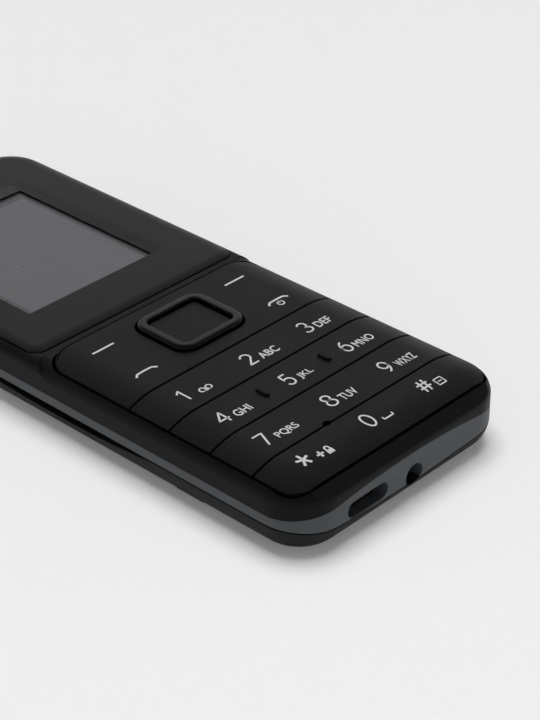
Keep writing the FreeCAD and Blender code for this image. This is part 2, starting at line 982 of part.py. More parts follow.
def shield_can(name):
    x, y, width, depth = under_board[name]
    low = board_low - under_height
    can = round_at(under_board_block(name, 0), low, can_round)
    inside = middle_box(x, y, width - 2 * can_wall, depth - 2 * can_wall, low + can_wall, board_low + 1)
    return can.cut(inside)


def socket_face():
    return -half_length + end_wall + fit_gap


# Left, right, low and high edge of the board that carries the sockets
def connector_board_edges():
    left = -foot_screw[0] + connector_board_left
    right = jack_x + connector_board_right
    high = mic_y() - microphone_depth / 2 - connector_board_gap
    return left, right, socket_face(), high


def connector_board():
    left, right, low, high = connector_board_edges()
    return box(left, right, low, high, connector_board_low, connector_board_low + connector_board_thickness)


def usb_shell():
    y = socket_face()
    low = usb_hole_z - usb_shell_height / 2
    high = low + usb_shell_height
    slope = usb_slope
    half = usb_shell_width / 2

    def profile(inset):
        side = half - inset
        points = [
            (-half + slope, low + inset), (half - slope, low + inset), (side, low + slope + inset),
            (side, high - inset), (-side, high - inset), (-side, low + slope + inset),
        ]
        corners = [at(usb_hole_x + x, y, z) for x, z in points]
        return Part.Face(Part.makePolygon(corners + [corners[0]]))

    shell = profile(0).extrude(at(0, usb_shell_depth, 0))
    inside = profile(usb_wall).extrude(at(0, usb_shell_depth - usb_wall, 0))
    return shell.cut(inside)


def usb_tongue():
    y = socket_face() + usb_tongue_setback
    roof = usb_hole_z + usb_shell_height / 2 - usb_wall
    high = roof - usb_tongue_drop
    end = socket_face() + usb_shell_depth - usb_wall
    low = high - usb_tongue_height
    left = usb_hole_x - usb_tongue_width / 2
    right = usb_hole_x + usb_tongue_width / 2
    tongue = box(left, right, y, end, low, high)
    foot = box(left, right, end - usb_foot_depth, end, low, roof - fit_gap / 2)
    return tongue.fuse(foot).removeSplitter()


def audio_jack():
    y = socket_face()
    body = box(jack_x - jack_body_width / 2, jack_x + jack_body_width / 2, y, y + jack_body_depth,
               jack_z - jack_body_height / 2, jack_z + jack_body_height / 2)
    bore = Part.makeCylinder(jack_bore_radius, jack_body_depth - jack_end_wall, at(jack_x, y, jack_z),
                             at(0, 1, 0))
    return body.cut(bore)


# Sound, power and antenna

def earpiece_block(grow, z_low, z_high):
    return middle_plate(0, earpiece_y, earpiece_width + 2 * grow, earpiece_depth + 2 * grow,
                        earpiece_corner + grow, z_low, z_high)


def earpiece():
    return earpiece_block(0, deck_high + fit_gap, lens_seat - loose_gap)


def earpiece_mesh():
    low = lens_seat - loose_gap + fit_gap / 2
    return earpiece_slot(low, lens_seat - fit_gap / 2, mesh_border)


def loudspeaker():
    low = battery_low
    body = middle_plate(speaker_x, speaker_y, speaker_width, speaker_depth, speaker_corner, low,
                        low + speaker_height)
    floor = low + speaker_recess
    width = speaker_width - 2 * speaker_rim
    depth = speaker_depth - 2 * speaker_rim
    recess = middle_plate(speaker_x, speaker_y, width, depth, speaker_corner - speaker_rim, low, floor)
    cone = Part.makeCone(speaker_cap_radius, speaker_cone_radius, speaker_recess - fit_gap,
                         at(speaker_x, speaker_y, low + fit_gap))
    return body.cut(recess).fuse(cone)


def vibration_motor(gap=0.0):
    radius = motor_radius + gap
    length = motor_length + 2 * gap
    start = at(motor_x - length / 2, speaker_y, battery_low + motor_lift)
    return Part.makeCylinder(radius, length, start, at(1, 0, 0))


def motor_cradle():
    radius = motor_radius + loose_gap
    half = motor_length / 2 + loose_gap
    mouth = box(motor_x - half, motor_x + half, speaker_y - radius, speaker_y + radius, 0,
                battery_low + motor_lift)
    return vibration_motor(loose_gap).fuse(mouth)


def battery():
    cell = plate(battery_width / 2, battery_low_edge, battery_high_edge, battery_corner, battery_corner,
                 battery_low, battery_low + battery_thickness)
    for x in (-contact_pitch, 0.0, contact_pitch):
        pad = box(x - pad_width / 2, x + pad_width / 2, battery_high_edge - pad_depth, battery_high_edge + 1,
                  deck_low - contact_height + pad_depth, deck_low - pad_width / 2)
        cell = cell.cut(pad)
    return cell


def battery_contacts():
    low = deck_low - contact_height
    y = battery_high_edge + bay_gap
    block = box(-contact_width / 2, contact_width / 2, y, y + contact_length - loose_gap, low, deck_low)
    for x in (-contact_pitch, 0.0, contact_pitch):
        half = pad_width / 3
        back = y + contact_length / 2
        block = block.cut(box(x - half, x + half, y - 1, back, low + pad_depth, deck_low - pad_depth))
        half = pad_width / 5
        spring_low = low + 2 * pad_depth
        spring_high = deck_low - 2 * pad_depth
        block = block.fuse(box(x - half, x + half, y - contact_reach, back, spring_low, spring_high))
    return block.removeSplitter()


def antenna():
    high = battery_low - fit_gap / 2
    outline = phone_plate(back_round + fit_gap, high - antenna_thickness, high)
    y = half_length - antenna_from_top
    return outline.common(middle_box(0, y, antenna_width, antenna_depth, 0, high))


def housing_screws():
    screws = []
    for x, y in screw_places():
        head = post(x, y, screw_head_radius, deck_low - screw_head_height, deck_low)
        slot_high = deck_low - screw_head_height + screw_slot_depth
        head = head.cut(middle_box(x, y, screw_slot_length, screw_slot_width, 0, slot_high))
        shank = post(x, y, screw_shank_radius, deck_low, foot_boss_top - 2 * boss_floor)
        screws.append(head.fuse(shank).removeSplitter())
    return Part.makeCompound(screws)


def all_parts():
    rows = key_rows()
    return {
        "front_cover": front_cover(),
        "mid_frame": mid_frame(),
        "battery_cover": battery_cover(),
        "display_lens": display_lens(),
        "window_mask": window_mask(),
        "lcd_glass": lcd_glass(),
        "lcd_backlight": lcd_backlight(),
        "lcd_gasket": lcd_gasket(),
        "lcd_flex": lcd_flex(),
        "nav_key_block": nav_block(),
        "dpad_ring": dpad_ring(),
        "ok_button": ok_button(),
        "key_strip_123": key_strip(rows[0]),
        "key_strip_456": key_strip_456(rows[1]),
        "key_strip_789": key_strip_789(rows[2]),
        "key_strip_star_zero_hash": key_strip_last(rows[3]),
        "web_123": row_web(rows[0]),
        "web_456": row_web(rows[1]),
        "web_789": row_web(rows[2]),
        "web_star_zero_hash": row_web(rows[3]),
        "nav_web": nav_web(),
        "dpad_web": dpad_web(),
        "keymat_base": keymat_base(),
        "dome_sheet": dome_sheet(),
        "metal_domes": metal_domes(),
        "main_board": main_board(),
        "connector_board": connector_board(),
        "processor_shield": shield_can("processor"),
        "radio_shield": shield_can("radio"),
        "sim_holders": sim_holders(),
        "memory_card_holder": card_holder("memory_card"),
        "microphone": microphone_block(0),
        "usb_shell": usb_shell(),
        "usb_tongue": usb_tongue(),
        "audio_jack": audio_jack(),
        "earpiece": earpiece(),
        "earpiece_mesh": earpiece_mesh(),
        "loudspeaker": loudspeaker(),
        "vibration_motor": vibration_motor(),
        "battery": battery(),
        "battery_contacts": battery_contacts(),
        "antenna": antenna(),
        "housing_screws": housing_screws(),
    }


os.makedirs("parts", exist_ok=True)
for name, shape in all_parts().items():
    shape.exportStep("parts/" + name + ".step")
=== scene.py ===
import json
import math

import bmesh
import bpy
from mathutils import Matrix, Vector
from mathutils.bvhtree import BVHTree


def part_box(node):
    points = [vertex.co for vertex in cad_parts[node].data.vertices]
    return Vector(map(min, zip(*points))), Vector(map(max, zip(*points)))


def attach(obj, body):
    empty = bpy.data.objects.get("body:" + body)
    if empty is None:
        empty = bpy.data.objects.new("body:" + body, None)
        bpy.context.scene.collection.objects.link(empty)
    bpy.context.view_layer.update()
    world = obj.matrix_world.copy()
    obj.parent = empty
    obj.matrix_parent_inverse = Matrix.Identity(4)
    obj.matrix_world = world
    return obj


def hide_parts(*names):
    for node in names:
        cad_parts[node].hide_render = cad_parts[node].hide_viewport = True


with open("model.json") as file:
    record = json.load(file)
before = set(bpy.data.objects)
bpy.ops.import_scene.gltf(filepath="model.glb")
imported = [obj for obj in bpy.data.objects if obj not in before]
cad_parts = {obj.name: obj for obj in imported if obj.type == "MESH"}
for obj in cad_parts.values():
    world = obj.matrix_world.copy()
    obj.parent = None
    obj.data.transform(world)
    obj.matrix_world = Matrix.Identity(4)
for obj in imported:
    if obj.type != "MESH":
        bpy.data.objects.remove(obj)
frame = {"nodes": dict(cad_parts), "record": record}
nodes = frame["nodes"]
bodyOf = {}
for bodyName, members in frame["record"]["behaviour"]["bodies"].items():
    for member in members:
        bodyOf[member] = bodyName
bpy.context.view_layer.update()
mm = 0.001
print("frame loaded,", len(nodes), "nodes")


# a socket of a material: sums and comparisons on it add Math nodes
class Wire:
    def __init__(self, finish, socket):
        self.finish = finish
        self.socket = socket

    def maths(self, operation, first, second=0.0):
        return self.finish.add("ShaderNodeMath", {"operation": operation}, {0: first, 1: second})

    def __add__(self, other):
        return self.maths("ADD", self, other)

    def __radd__(self, other):
        return self.maths("ADD", other, self)

    def __sub__(self, other):
        return self.maths("SUBTRACT", self, other)

    def __rsub__(self, other):
        return self.maths("SUBTRACT", other, self)

    def __mul__(self, other):
        return self.maths("MULTIPLY", self, other)

    def __gt__(self, other):
        return self.maths("GREATER_THAN", self, other)

    def __lt__(self, other):
        return self.maths("LESS_THAN", self, other)


# one material, or the world, and the nodes that make it
class Finish:
    def __init__(self, name, owner=None):
        self.material = owner or bpy.data.materials.new(name)
        self.material.use_nodes = True
        self.tree = self.material.node_tree
        self.tree.nodes.clear()

    # any node: its type, its settings first, then the values or links of its sockets
    def add(self, kind, settings=None, values=None, out=0):
        made = self.tree.nodes.new(kind)
        for name, value in (settings or {}).items():
            setattr(made, name, value)
        for name, value in (values or {}).items():
            if isinstance(value, Wire):
                self.tree.links.new(value.socket, made.inputs[name])
            else:
                made.inputs[name].default_value = value
        return Wire(self, made.outputs[out]) if made.outputs else None

    def place(self):
        return self.add("ShaderNodeTexCoord", out="Object")

    def axis(self, where, number):
        return self.add("ShaderNodeSeparateXYZ", None, {0: where}, number)

    def noise(self, where, size, detail=2.0, rough=0.5):
        return self.add("ShaderNodeTexNoise", None,
                        {"Vector": where, "Scale": 1 / size, "Detail": detail, "Roughness": rough})

    def blend(self, factor, first, second):
        return self.add("ShaderNodeMix", {"data_type": "RGBA"}, {0: factor, 6: first, 7: second}, 2)

    def maximum(self, first, second, third):
        larger = self.add("ShaderNodeMath", {"operation": "MAXIMUM"}, {0: first, 1: second})
        return self.add("ShaderNodeMath", {"operation": "MAXIMUM"}, {0: larger, 1: third})

    # a wave along an axis that repeats at each pitch, from -1 to 1
    def wave(self, along, pitch):
        return self.add("ShaderNodeMath", {"operation": "SINE"}, {0: along * (2 * math.pi / pitch)})

    def away(self, along, middle):
        return self.add("ShaderNodeMath", {"operation": "ABSOLUTE"}, {0: along - middle})

    def bump(self, height, depth):
        return self.add("ShaderNodeBump", None, {"Distance": depth, "Height": height})

    def surface(self, values):
        shader = self.add("ShaderNodeBsdfPrincipled", None, values)
        self.add("ShaderNodeOutputMaterial", None, {"Surface": shader})
        return self.material


def grey(level, tint=(1.0, 1.0, 1.0)):
    return (level * tint[0], level * tint[1], level * tint[2], 1.0)


# moulded plastic: two close tones in soft clouds, a fine spark grain in the gloss and in the bump;
# where the look says so, fine ribs along the phone, or a painted sheen: a gloss layer only on the faces
# that look up, standing in for the overhead light that they catch
def mouldedPlastic(name, look):
    finish = Finish(name)
    where = finish.place()
    grain = finish.noise(where, look["grain"], 3.0, 0.6)
    cloud = finish.noise(where, look["cloud"], 2.0)
    colour = finish.blend(cloud, look["dark"], look["light"])
    rough = look["rough"] + (grain - 0.5) * look["roughSpread"]
    values = {"Base Color": colour, "Roughness": rough, "Specular IOR Level": look["shine"]}
    if "ribPitch" in look:
        rib = finish.wave(finish.axis(where, 1), look["ribPitch"])
        values["Normal"] = finish.bump(grain + rib * look["ribShare"], look["depth"])
    elif look["depth"] > 0:
        values["Normal"] = finish.bump(grain, look["depth"])
    # painted sheen: extra gloss only where the face looks up, as if lit from overhead
    if "paintedTopSheen" in look:
        facing = finish.add("ShaderNodeNewGeometry", out="Normal")
        paintedSheenShare = finish.add("ShaderNodeMapRange", {"interpolation_type": "SMOOTHSTEP"},
                            {"Value": finish.axis(facing, 2), "From Min": 0.55, "From Max": 0.97,
                             "To Max": look["paintedTopSheen"]})
        values["Coat Weight"] = paintedSheenShare * (cloud * 0.4 + 0.8)
        values["Coat Roughness"] = look["paintedSheenRough"]
    return finish.surface(values)


keyLook = {
    "dark": grey(0.0032, (1.0, 1.0, 1.1)), "light": grey(0.0044, (1.0, 1.0, 1.1)), "grain": 0.16 * mm,
    "cloud": 9 * mm, "rough": 0.42, "roughSpread": 0.1, "shine": 0.05, "depth": 0.003 * mm,
    "paintedTopSheen": 0.24, "paintedSheenRough": 0.38,
}
housingLook = {
    "dark": grey(0.0036, (1.0, 1.0, 1.06)), "light": grey(0.0052, (1.0, 1.0, 1.06)), "grain": 0.2 * mm,
    "cloud": 14 * mm, "rough": 0.42, "roughSpread": 0.12, "shine": 0.08, "depth": 0.004 * mm,
    "paintedTopSheen": 0.08, "paintedSheenRough": 0.36,
}
rearLook = {
    "dark": grey(0.0080, (1.0, 1.0, 1.03)), "light": grey(0.0115, (1.0, 1.0, 1.03)), "grain": 0.36 * mm,
    "cloud": 18 * mm, "rough": 0.6, "roughSpread": 0.16, "shine": 0.16, "depth": 0.018 * mm,
    "ribPitch": 0.56 * mm, "ribShare": 0.45,
}
bandLook = {
    "dark": grey(0.050, (0.93, 1.0, 1.1)), "light": grey(0.060, (0.93, 1.0, 1.09)), "grain": 0.12 * mm,
    "cloud": 8 * mm, "rough": 0.5, "roughSpread": 0.16, "shine": 0.35, "depth": 0.003 * mm,
}
ringLook = {
    "dark": grey(0.0022), "light": grey(0.0030), "grain": 0.3 * mm, "cloud": 6 * mm, "rough": 0.2,
    "roughSpread": 0.08, "shine": 0.16, "depth": 0.0008 * mm, "paintedTopSheen": 0.3, "paintedSheenRough": 0.16,
}
maskLook = {
    "dark": grey(0.0072, (1.0, 1.0, 1.1)), "light": grey(0.0085, (1.0, 1.0, 1.1)), "grain": 5 * mm,
    "cloud": 10 * mm, "rough": 0.2, "roughSpread": 0.04, "shine": 0.2, "depth": 0.0,
}
nylonLook = {
    "dark": grey(0.014), "light": grey(0.020), "grain": 0.25 * mm, "cloud": 3 * mm,
    "rough": 0.5, "roughSpread": 0.2, "shine": 0.4, "depth": 0.006 * mm,
}
backlightLook = {
    "dark": grey(0.62), "light": grey(0.72), "grain": 0.3 * mm, "cloud": 8 * mm,
    "rough": 0.45, "roughSpread": 0.1, "shine": 0.4, "depth": 0.004 * mm,
}
foamLook = {
    "dark": grey(0.07), "light": grey(0.11), "grain": 0.22 * mm, "cloud": 0.6 * mm,
    "rough": 0.95, "roughSpread": 0.08, "shine": 0.15, "depth": 0.06 * mm,
}
siliconeLook = {
    "dark": grey(0.016), "light": grey(0.024), "grain": 0.3 * mm,
    "cloud": 5 * mm, "rough": 0.7, "roughSpread": 0.12, "shine": 0.2, "depth": 0.004 * mm,
}
batteryLook = {
    "dark": grey(0.060, (1.0, 1.0, 1.04)), "light": grey(0.074, (1.0, 1.0, 1.04)), "grain": 0.35 * mm,
    "cloud": 11 * mm, "rough": 0.36, "roughSpread": 0.12, "shine": 0.4, "depth": 0.008 * mm,
}


# the free window in the printed mask, read from the mask's own inner edge: the points nearer the middle
# than the mask's outer corners and below the earpiece slot
windowLook = {"share": 0.66, "belowSlot": 50 * mm}


def windowBox(look):
    points = [vertex.co for vertex in nodes["window_mask"].data.vertices]
    edge = look["share"] * max(abs(point.x) for point in points)
    inner = [point for point in points if abs(point.x) < edge and abs(point.y) < look["belowSlot"]]
    low = Vector((min(point.x for point in inner), min(point.y for point in inner), 0.0))
    high = Vector((max(point.x for point in inner), max(point.y for point in inner), 0.0))
    return low, high


# the lens: a black print all round, taken on its upper faces, and see-through over the window
lensLook = {
    "dark": grey(0.0046, (1.0, 1.0, 1.1)), "light": grey(0.0058, (1.0, 1.0, 1.1)), "cloud": 10 * mm,
    "rough": 0.2, "roughSpread": 0.04, "shine": 0.15, "clearRound": 1.4 * mm, "printDepth": 0.9 * mm,
}


def clearLens(name, look):
    finish = Finish(name)
    where = finish.place()
    low, high = windowBox(windowLook)
    middle = (low + high) / 2
    reach = (high - low) / 2
    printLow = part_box("display_lens")[1].z - look["printDepth"]
    inX = finish.away(finish.axis(where, 0), middle.x) < reach.x + look["clearRound"]
    inY = finish.away(finish.axis(where, 1), middle.y) < reach.y + look["clearRound"]
    below = finish.axis(where, 2) < printLow
    inside = finish.add("ShaderNodeNewGeometry", out="Backfacing")
    cloud = finish.noise(where, look["cloud"], 2.0)
    printed = finish.add("ShaderNodeBsdfPrincipled", None, {
        "Base Color": finish.blend(cloud, look["dark"], look["light"]),
        "Roughness": look["rough"] + (cloud - 0.5) * look["roughSpread"],
        "Specular IOR Level": look["shine"],
    })
    clear = finish.add("ShaderNodeBsdfTransparent", None, {"Color": grey(1.0)})
    seeThrough = finish.maximum(inX * inY, inside, below)
    mixed = finish.add("ShaderNodeMixShader", None, {0: seeThrough, 1: printed, 2: clear})
    finish.add("ShaderNodeOutputMaterial", None, {"Surface": mixed})
    return finish.material


# display glass: a pale active area with fine columns and a darker border all round
displayLook = {
    "active": grey(0.076, (0.98, 0.98, 1.09)), "border": grey(0.044, (0.98, 0.98, 1.07)),
    "halfWidth": 13.3 * mm, "halfHeight": 16.8 * mm, "pitch": 0.22 * mm, "column": grey(0.04),
    "columnShare": 0.03, "cloud": 7 * mm, "rough": 0.22, "roughSpread": 0.08, "shine": 0.45,
}


def displayGlass(name, look):
    finish = Finish(name)
    where = finish.place()
    low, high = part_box("lcd_glass")
    middle = (low.y + high.y) / 2
    acrossX = finish.axis(where, 0)
    inX = finish.away(acrossX, 0.0) < look["halfWidth"]
    inY = finish.away(finish.axis(where, 1), middle) < look["halfHeight"]
    active = inX * inY
    column = finish.wave(acrossX, look["pitch"]) * look["columnShare"] + look["columnShare"]
    tone = finish.blend(active, look["border"], look["active"])
    cloud = finish.noise(where, look["cloud"])
    return finish.surface({
        "Base Color": finish.blend(active * column, tone, look["column"]),
        "Roughness": look["rough"] + cloud * look["roughSpread"],
        "Specular IOR Level": look["shine"],
    })


# bare metal: brushed or tumbled, with a rolled grain along one axis
def bareMetal(name, look):
    finish = Finish(name)
    where = finish.place()
    stretched = finish.add("ShaderNodeMapping", None, {"Vector": where, "Scale": look["stretch"]})
    grain = finish.noise(stretched, look["grain"], 4.0, 0.6)
    cloud = finish.noise(where, look["cloud"], 3.0)
    return finish.surface({
        "Base Color": finish.blend(cloud, look["dark"], look["light"]),
        "Metallic": 1.0,
        "Roughness": look["rough"] + (grain - 0.5) * look["roughSpread"],
        "Normal": finish.bump(grain, look["depth"]),
    })


steelLook = {
    "dark": grey(0.50, (1.0, 0.99, 0.96)), "light": grey(0.62, (1.0, 0.99, 0.97)), "grain": 0.1 * mm,
    "stretch": (1.0, 8.0, 1.0), "cloud": 2.2 * mm, "rough": 0.34, "roughSpread": 0.24, "depth": 0.002 * mm,
}
domeLook = {
    "dark": grey(0.58), "light": grey(0.68, (1.0, 0.99, 0.97)), "grain": 0.1 * mm,
    "stretch": (1.0, 1.0, 1.0), "cloud": 1.5 * mm, "rough": 0.22, "roughSpread": 0.1, "depth": 0.001 * mm,
}
zincLook = {
    "dark": grey(0.05), "light": grey(0.085, (1.0, 1.0, 1.04)), "grain": 0.09 * mm,
    "stretch": (1.0, 1.0, 1.0), "cloud": 0.7 * mm, "rough": 0.36, "roughSpread": 0.2, "depth": 0.003 * mm,
}
goldLook = {
    "dark": (0.72, 0.48, 0.16, 1.0), "light": (0.86, 0.62, 0.26, 1.0), "grain": 0.08 * mm,
    "stretch": (1.0, 5.0, 1.0), "cloud": 0.8 * mm, "rough": 0.26, "roughSpread": 0.16, "depth": 0.001 * mm,
}


# solder mask over copper: darker lands, lighter tracks in two directions and small plated holes
boardLook = {
    "mask": (0.008, 0.060, 0.030, 1.0), "track": (0.018, 0.105, 0.050, 1.0), "hole": (0.60, 0.47, 0.22, 1.0),
    "cell": 2.3 * mm, "width": 0.11, "hollow": 0.16, "rough": 0.34,
}


def circuitBoard(name, look):
    finish = Finish(name)
    where = finish.place()
    cells = finish.add("ShaderNodeTexVoronoi", {"feature": "F1", "distance": "MANHATTAN"},
                       {"Vector": where, "Scale": 1 / look["cell"]})
    lines = finish.add("ShaderNodeTexVoronoi", {"feature": "DISTANCE_TO_EDGE", "distance": "EUCLIDEAN"},
                       {"Vector": where, "Scale": 1 / look["cell"], "Randomness": 0.55})
    track = lines < look["width"]
    hole = cells < look["hollow"]
    colour = finish.blend(track, look["mask"], look["track"])
    colour = finish.blend(hole, colour, look["hole"])
    grain = finish.noise(where, 0.15 * mm, 3.0)
    return finish.surface({
        "Base Color": colour,
        "Metallic": hole * 0.9,
        "Roughness": look["rough"] + (grain - 0.5) * 0.15,
        "Normal": finish.bump(track * 0.6 + grain * 0.2, 0.02 * mm),
    })


# thin film: amber polyimide or clear polyester, with faint copper lines under it
def printedFilm(name, look):
    finish = Finish(name)
    where = finish.place()
    line = finish.wave(finish.axis(where, look["axis"]), look["pitch"]) > look["share"]
    cloud = finish.noise(where, 3 * mm, 2.0)
    base = finish.blend(cloud, look["dark"], look["light"])
    colour = finish.blend(line, base, look["line"])
    return finish.surface({
        "Base Color": colour,
        "Roughness": look["rough"] + cloud * 0.1,
        "Specular IOR Level": 0.5,
        "Normal": finish.bump(line * 0.5 + cloud * 0.3, 0.01 * mm),
    })


flexLook = {
    "dark": (0.30, 0.10, 0.012, 1.0), "light": (0.36, 0.13, 0.018, 1.0), "line": (0.46, 0.22, 0.05, 1.0),
    "axis": 0, "pitch": 0.7 * mm, "share": 0.1, "rough": 0.28,
}
sheetLook = {
    "dark": grey(0.52), "light": grey(0.60), "line": grey(0.50, (1.0, 0.98, 0.92)),
    "axis": 1, "pitch": 9.0 * mm, "share": 0.97, "rough": 0.3,
}
antennaLook = {
    "dark": (0.55, 0.27, 0.13, 1.0), "light": (0.62, 0.33, 0.17, 1.0), "line": (0.05, 0.04, 0.03, 1.0),
    "axis": 0, "pitch": 8.5 * mm, "share": 0.965, "rough": 0.3,
}


# woven wire cloth behind the earpiece slot
wovenLook = {"pitch": 0.34 * mm, "wire": 0.30, "dark": grey(0.006), "light": grey(0.10), "rough": 0.4}


def wovenMesh(name, look):
    finish = Finish(name)
    where = finish.place()
    warp = finish.wave(finish.axis(where, 0), look["pitch"])
    weft = finish.wave(finish.axis(where, 1), look["pitch"])
    wire = finish.add("ShaderNodeMath", {"operation": "MAXIMUM"}, {0: warp, 1: weft})
    return finish.surface({
        "Base Color": finish.blend(wire > look["wire"], look["dark"], look["light"]),
        "Metallic": (wire > look["wire"]) * 0.8,
        "Roughness": look["rough"] + finish.noise(where, 1 * mm) * 0.15,
        "Normal": finish.bump(wire, 0.04 * mm),
    })


# screen-printed legends: slightly uneven pale ink
inkLook = {"dark": grey(0.48), "light": grey(0.60), "rough": 0.55, "grain": 0.12 * mm}


def printInk(name, look):
    finish = Finish(name)
    where = finish.place()
    grain = finish.noise(where, look["grain"], 3.0, 0.7)
    return finish.surface({
        "Base Color": finish.blend(grain, look["dark"], look["light"]),
        "Roughness": look["rough"] + (grain - 0.5) * 0.2,
        "Specular IOR Level": 0.2,
        "Normal": finish.bump(grain, 0.004 * mm),
    })


keyPlastic = mouldedPlastic("keyPlastic", keyLook)
housingPlastic = mouldedPlastic("housingPlastic", housingLook)
rearPlastic = mouldedPlastic("rearPlastic", rearLook)
bandPlastic = mouldedPlastic("bandPlastic", bandLook)
ringPlastic = mouldedPlastic("ringPlastic", ringLook)
maskFilm = mouldedPlastic("maskFilm", maskLook)
blackNylon = mouldedPlastic("blackNylon", nylonLook)
backlightPlastic = mouldedPlastic("backlightPlastic", backlightLook)
gasketFoam = mouldedPlastic("gasketFoam", foamLook)
keymatSilicone = mouldedPlastic("keymatSilicone", siliconeLook)
batterySleeve = mouldedPlastic("batterySleeve", batteryLook)
lensClear = clearLens("lensClear", lensLook)
displayFace = displayGlass("displayFace", displayLook)
tinSteel = bareMetal("tinSteel", steelLook)
domeSteel = bareMetal("domeSteel", domeLook)
blackZinc = bareMetal("blackZinc", zincLook)
contactGold = bareMetal("contactGold", goldLook)
greenBoard = circuitBoard("greenBoard", boardLook)
amberFlex = printedFilm("amberFlex", flexLook)
domeFilm = printedFilm("domeFilm", sheetLook)
copperFilm = printedFilm("copperFilm", antennaLook)
earpieceWeave = wovenMesh("earpieceWeave", wovenLook)
legendInk = printInk("legendInk", inkLook)
print("finishes made")

nodeFinishes = {
    "front_cover": housingPlastic, "mid_frame": bandPlastic, "battery_cover": rearPlastic,
    "display_lens": lensClear, "window_mask": maskFilm, "lcd_glass": displayFace,
    "lcd_backlight": backlightPlastic, "lcd_gasket": gasketFoam, "lcd_flex": amberFlex,
    "nav_key_block": keyPlastic, "dpad_ring": ringPlastic, "ok_button": keyPlastic,
    "key_strip_123": keyPlastic, "key_strip_456": keyPlastic, "key_strip_789": keyPlastic,
    "key_strip_star_zero_hash": keyPlastic, "web_123": keymatSilicone, "web_456": keymatSilicone,
    "web_789": keymatSilicone, "web_star_zero_hash": keymatSilicone, "nav_web": keymatSilicone,
    "dpad_web": keymatSilicone, "keymat_base": keymatSilicone, "dome_sheet": domeFilm,
    "metal_domes": domeSteel, "main_board": greenBoard, "connector_board": greenBoard,
    "processor_shield": tinSteel, "radio_shield": tinSteel, "sim_holders": tinSteel,
    "memory_card_holder": tinSteel, "microphone": contactGold, "usb_shell": tinSteel,
    "usb_tongue": blackNylon, "audio_jack": blackNylon, "earpiece": blackNylon,
    "earpiece_mesh": earpieceWeave, "loudspeaker": blackNylon, "vibration_motor": tinSteel,
    "battery": batterySleeve, "battery_contacts": blackNylon, "antenna": copperFilm,
    "housing_screws": blackZinc,
}
for nodeName, material in nodeFinishes.items():
    slots = nodes[nodeName].data.materials
    slots.clear()
    slots.append(material)


# a mesh object from points that are already in place
def addPiece(name, mesh, material, body):
    mesh.materials.clear()
    mesh.materials.append(material)
    piece = bpy.data.objects.new(name, mesh)
    bpy.context.scene.collection.objects.link(piece)
    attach(piece, body)
    return piece


# a copy of a node with its triangles joined into clean faces and its edges slightly broken
def brokenEdges(node, look):
    joined = bmesh.new()
    joined.from_mesh(nodes[node].data)
    bmesh.ops.remove_doubles(joined, verts=joined.verts, dist=0.0005 * mm)
    bmesh.ops.dissolve_limit(joined, angle_limit=math.radians(look["flat"]), verts=joined.verts,
                             edges=joined.edges)
    # a flatter crown, so that the gap round the lens stays in sight
    if "crownKeep" in look:
        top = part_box(node)[1].z
        for vertex in joined.verts:
            if vertex.co.z > top - look["crownDepth"]:
                vertex.co.z = top - (top - vertex.co.z) * look["crownKeep"]
    mesh = bpy.data.meshes.new(node + "Skin")
    joined.to_mesh(mesh)
    joined.free()
    for polygon in mesh.polygons:
        polygon.use_smooth = True
    mesh.set_sharp_from_angle(angle=math.radians(look["sharp"]))
    piece = addPiece(node + "_skin", mesh, nodeFinishes[node], bodyOf[node])
    # the tops of the raised marks of a key take the housing finish, which has less painted top sheen, so
    # they read darker than the key
    if "proud" in look:
        mesh.materials.append(look["proud"])
        for polygon in mesh.polygons:
            if polygon.center.z > look["proudAbove"]:
                polygon.material_index = 1
    bevel = piece.modifiers.new("brokenEdge", "BEVEL")
    bevel.limit_method = "ANGLE"
    bevel.angle_limit = math.radians(look["sharp"])
    bevel.width = look["width"]
    bevel.segments = look["segments"]
    bevel.use_clamp_overlap = True
    weighted = piece.modifiers.new("broadFaces", "WEIGHTED_NORMAL")
    weighted.keep_sharp = True
    weighted.weight = 100
    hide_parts(node)


casingLook = {"flat": 0.4, "sharp": 32, "width": 0.06 * mm, "segments": 2}
keyEdgeLook = {"flat": 0.4, "sharp": 32, "width": 0.1 * mm, "segments": 2}
lensEdgeLook = {
    "flat": 0.4, "sharp": 40, "width": 0.1 * mm, "segments": 2, "crownKeep": 0.45, "crownDepth": 0.8 * mm,
}
for nodeName in ("front_cover", "mid_frame", "battery_cover", "battery"):
    brokenEdges(nodeName, casingLook)
for nodeName in ("key_strip_123", "key_strip_789", "key_strip_star_zero_hash", "nav_key_block", "dpad_ring",
                 "ok_button"):
    brokenEdges(nodeName, keyEdgeLook)
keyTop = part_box("key_strip_123")[1].z
brokenEdges("key_strip_456", keyEdgeLook | {"proud": housingPlastic, "proudAbove": keyTop + 0.05 * mm})
brokenEdges("display_lens", lensEdgeLook)
print("casings and keys made")


